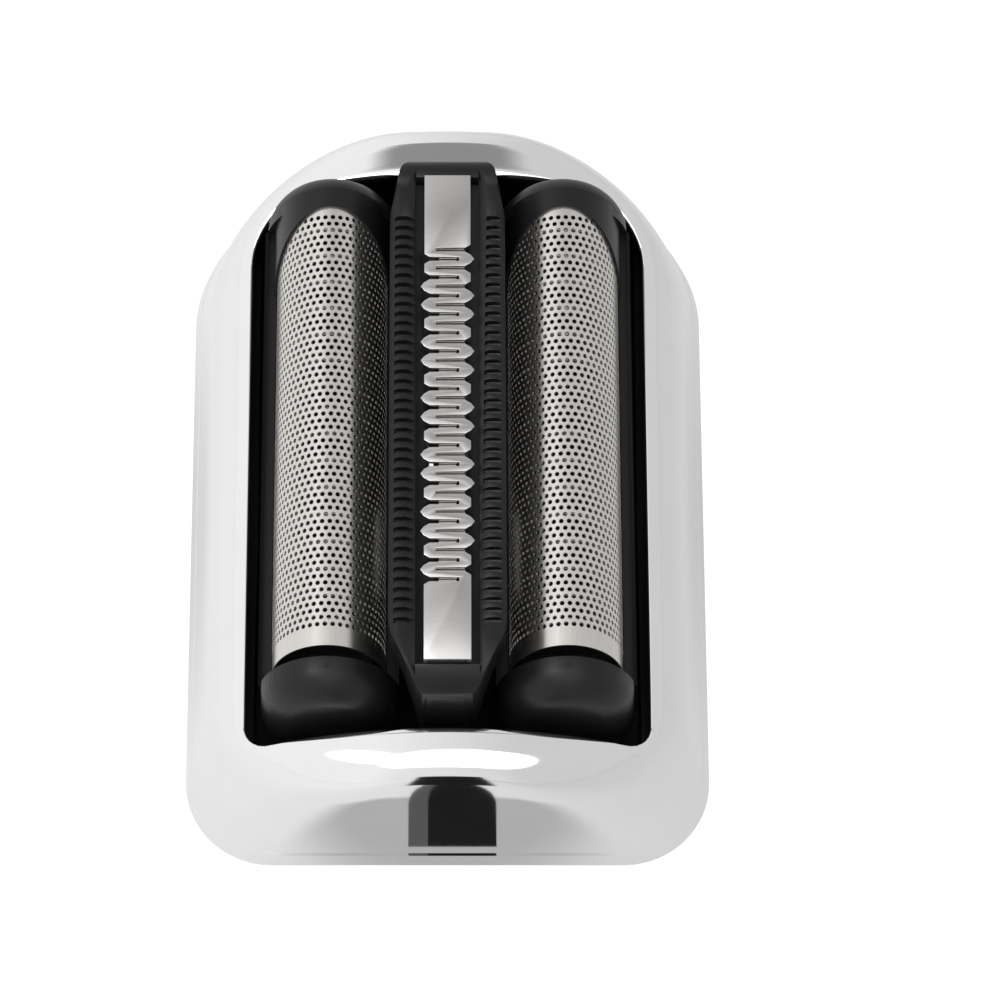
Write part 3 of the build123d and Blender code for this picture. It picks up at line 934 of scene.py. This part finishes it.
@dataclass
class Studio:
    """The camera, lights, floor and reflected cards round the head (sizes in mm)."""

    elevation: float = 66.0
    distance: float = 300.0
    scale: float = 16.7
    target: tuple[float, float, float] = (0.0, 0.0, 16.6)
    seen_at: tuple[float, float] = (447.5, 420.0)
    # Painted floor light: the floor's glow seen in the metal and lighting the head, fading from the left
    # value to the right value over the fade distance.
    painted_floor_light_fade: float = 30.0
    painted_floor_light_left: float = 0.84
    painted_floor_light_right: float = 0.56
    floor_grey: float = 0.1
    floor_rough: float = 0.9
    world_left: float = 1.0
    world_right: float = 0.7
    world_fade: tuple[float, float] = (0.3, 0.7)
    picture: float = 1000.0
    sensor: float = 36.0
    lights: list[tuple[str, tuple[float, float, float], tuple[float, float], float]] = field(
        default_factory=lambda: [
            ("key_light", (-190.0, -60.0, 320.0), (180.0, 180.0), 0.4),
            ("strip_light", (25.0, -120.0, 300.0), (390.0, 320.0), 0.36),
        ]
    )
    cards: tuple[Card, ...] = (
        Card("far_card", (0.0, 172.0, 300.0), (400.0, 80.0), 0.3),
        # The base and front cards are painted shadow: darker sheets round the base and in front of the near
        # wall, mirrored in the chrome as the shade on the floor there.
        Card("base_shadow_card", (0.0, 0.0, 0.05), (42.0, 62.0), 0.45),
        Card("front_shadow_card", (0.0, -26.0, 0.1), (24.0, 12.0), 0.48),
        Card("dark_card", (0.9, -39.4, 0.2), (4.2, 32.0), 0.012, soft=False),
        Card("edge_card", (-1.8, -39.4, 0.2), (1.2, 32.0), 0.1, soft=False),
        Card("standing_card", (0.4, -55.4, 9.0), (9.0, 18.0), 0.012, soft=False, upright=True),
    )

    def camera(self) -> bpy.types.Object:
        """Places the camera at the photograph's angle."""
        tilt = radians(self.elevation)
        target = Vector(self.target) * MM
        deselect_all()
        bpy.ops.object.camera_add(
            location=target + Vector((0.0, -cos(tilt), sin(tilt))) * self.distance * MM,
            rotation=(pi / 2 - tilt, 0.0, 0.0),
        )
        camera = bpy.context.object
        camera.data.sensor_width = self.sensor
        camera.data.lens = self.scale * self.distance * self.sensor / self.picture
        camera.data.shift_x = 0.5 - self.seen_at[0] / self.picture
        camera.data.shift_y = self.seen_at[1] / self.picture - 0.5
        camera.data.clip_start = 0.01
        camera.data.clip_end = 20.0
        bpy.context.scene.camera = camera
        return camera

    def lamps(self) -> None:
        """Adds soft area lights that face the head."""
        for name, place, (wide, deep), power in self.lights:
            deselect_all()
            spot = Vector(place) * MM
            turn = (Vector((0, 0, 0.01)) - spot).to_track_quat("-Z", "Y").to_euler()
            bpy.ops.object.light_add(type="AREA", location=spot, rotation=turn)
            lamp = bpy.context.object
            lamp.name = name
            lamp.data.shape = "ELLIPSE"
            lamp.data.size = wide * MM
            lamp.data.size_y = deep * MM
            lamp.data.energy = power

    def reflected(self) -> None:
        """Adds the cards that only the polished metal mirrors."""
        for card in self.cards:
            card.build()

    def floor(self) -> bpy.types.Object:
        """A wide pale floor that the camera sees as white; to every other ray it glows with painted light,
        brighter on the left.
        """
        deselect_all()
        bpy.ops.mesh.primitive_plane_add(size=6.0, location=(0, 0, 0))
        piece = bpy.context.object
        piece.name = "pale_floor"
        paint = bpy.data.materials.new("pale_floor")
        paint.use_nodes = True
        nodes, links = paint.node_tree.nodes, paint.node_tree.links
        shader = nodes["Principled BSDF"]
        shader.inputs["Base Color"].default_value = (self.floor_grey,) * 3 + (1.0,)
        shader.inputs["Roughness"].default_value = self.floor_rough
        shader.inputs["Specular IOR Level"].default_value = 0.0
        path = nodes.new("ShaderNodeLightPath")
        place = nodes.new("ShaderNodeTexCoord")
        split = nodes.new("ShaderNodeSeparateXYZ")
        # Painted light: for every ray but the camera's the floor glows, brighter on the left, as if lit from
        # that side.
        painted_floor_light = nodes.new("ShaderNodeMapRange")
        painted_floor_light.inputs["From Min"].default_value = -self.painted_floor_light_fade * MM
        painted_floor_light.inputs["From Max"].default_value = self.painted_floor_light_fade * MM
        painted_floor_light.inputs["To Min"].default_value = self.painted_floor_light_left
        painted_floor_light.inputs["To Max"].default_value = self.painted_floor_light_right
        glow = nodes.new("ShaderNodeMapRange")
        glow.inputs["To Max"].default_value = 1.0
        links.new(place.outputs["Object"], split.inputs[0])
        links.new(split.outputs["X"], painted_floor_light.inputs["Value"])
        links.new(painted_floor_light.outputs["Result"], glow.inputs["To Min"])
        links.new(path.outputs["Is Camera Ray"], glow.inputs["Value"])
        shader.inputs["Emission Color"].default_value = (1.0, 1.0, 1.0, 1.0)
        links.new(glow.outputs[0], shader.inputs["Emission Strength"])
        piece.data.materials.append(paint)
        return piece

    def world(self) -> None:
        """A soft pale surround, brighter on the left."""
        world = bpy.data.worlds.new("studio")
        bpy.context.scene.world = world
        world.use_nodes = True
        nodes, links = world.node_tree.nodes, world.node_tree.links
        background = nodes["Background"]
        path = nodes.new("ShaderNodeLightPath")
        place = nodes.new("ShaderNodeTexCoord")
        split = nodes.new("ShaderNodeSeparateXYZ")
        ramp = nodes.new("ShaderNodeValToRGB")
        for element, place_along, tone in zip(
            ramp.color_ramp.elements, self.world_fade, (self.world_left, self.world_right)
        ):
            element.position = place_along
            element.color = (tone, tone, tone, 1.0)
        across = nodes.new("ShaderNodeMapRange")
        across.inputs["From Min"].default_value = -1.0
        links.new(place.outputs["Generated"], split.inputs[0])
        links.new(split.outputs["X"], across.inputs["Value"])
        links.new(across.outputs["Result"], ramp.inputs["Fac"])
        mix = nodes.new("ShaderNodeMix")
        mix.data_type = "RGBA"
        mix.inputs[7].default_value = (1.0, 1.0, 1.0, 1.0)
        links.new(path.outputs["Is Camera Ray"], mix.inputs[0])
        links.new(ramp.outputs["Color"], mix.inputs[6])
        links.new(mix.outputs[2], background.inputs["Color"])
        background.inputs["Strength"].default_value = 1.0

    def build(self) -> None:
        """Sets up the whole studio."""
        scene = bpy.context.scene
        scene.view_settings.view_transform = "Standard"
        self.camera()
        self.lamps()
        self.reflected()
        self.floor()
        self.world()


def assemblies() -> list[Bezel | Foil | CarriedNode]:
    """Every piece of the head in building order."""
    parts: list[Bezel | Foil | CarriedNode] = [
        Bezel(),
        CarriedNode("chassis", "housing", BLACK_DULL, Slot.BLACK, bevel=0.08),
        TrimmerFrame("trimmer_frame", "trimmer", BLACK, Slot.BLACK, bevel=0.06),
        CarriedNode("trimmer_comb", "trimmer", BLADE, Slot.BLADE, bevel=0.03),
        CarriedNode("trimmer_blade", "trimmer_cutter", BLADE, Slot.BLADE),
        CarriedNode("trimmer_driver", "trimmer_cutter", BLACK_DULL, Slot.BLACK),
        FloatSpring("trimmer_springs", "housing", SPRING, Slot.SPRING, joint="trimmer_float", travel=1.4),
    ]
    for side in Side:
        word = side.word
        cartridge, cutter, float_joint = word + "_cartridge", word + "_cutter", word + "_foil_float"
        parts += [
            FoilFrame("foil_frame_" + word, cartridge, BLACK, Slot.BLACK, bevel=0.12),
            Foil(side),
            CutterBlades("cutter_blades_" + word, cutter, BLADE, Slot.BLADE),
            CarriedNode("cutter_carrier_" + word, cutter, BLACK_DULL, Slot.BLACK),
            CarriedNode("cutter_springs_" + word, cutter, SPRING, Slot.SPRING),
            FloatSpring("foil_springs_" + word, "housing", SPRING, Slot.SPRING, joint=float_joint),
        ]
    return parts


def main() -> None:
    """Builds the head's pieces and the studio."""
    logging.basicConfig(level=logging.INFO)
    for part in assemblies():
        piece = part.build()
        LOG.info("%s: %d faces", piece.name, len(piece.data.polygons))
    Studio().build()
    deselect_all()


if __name__ == "__main__":
    main()
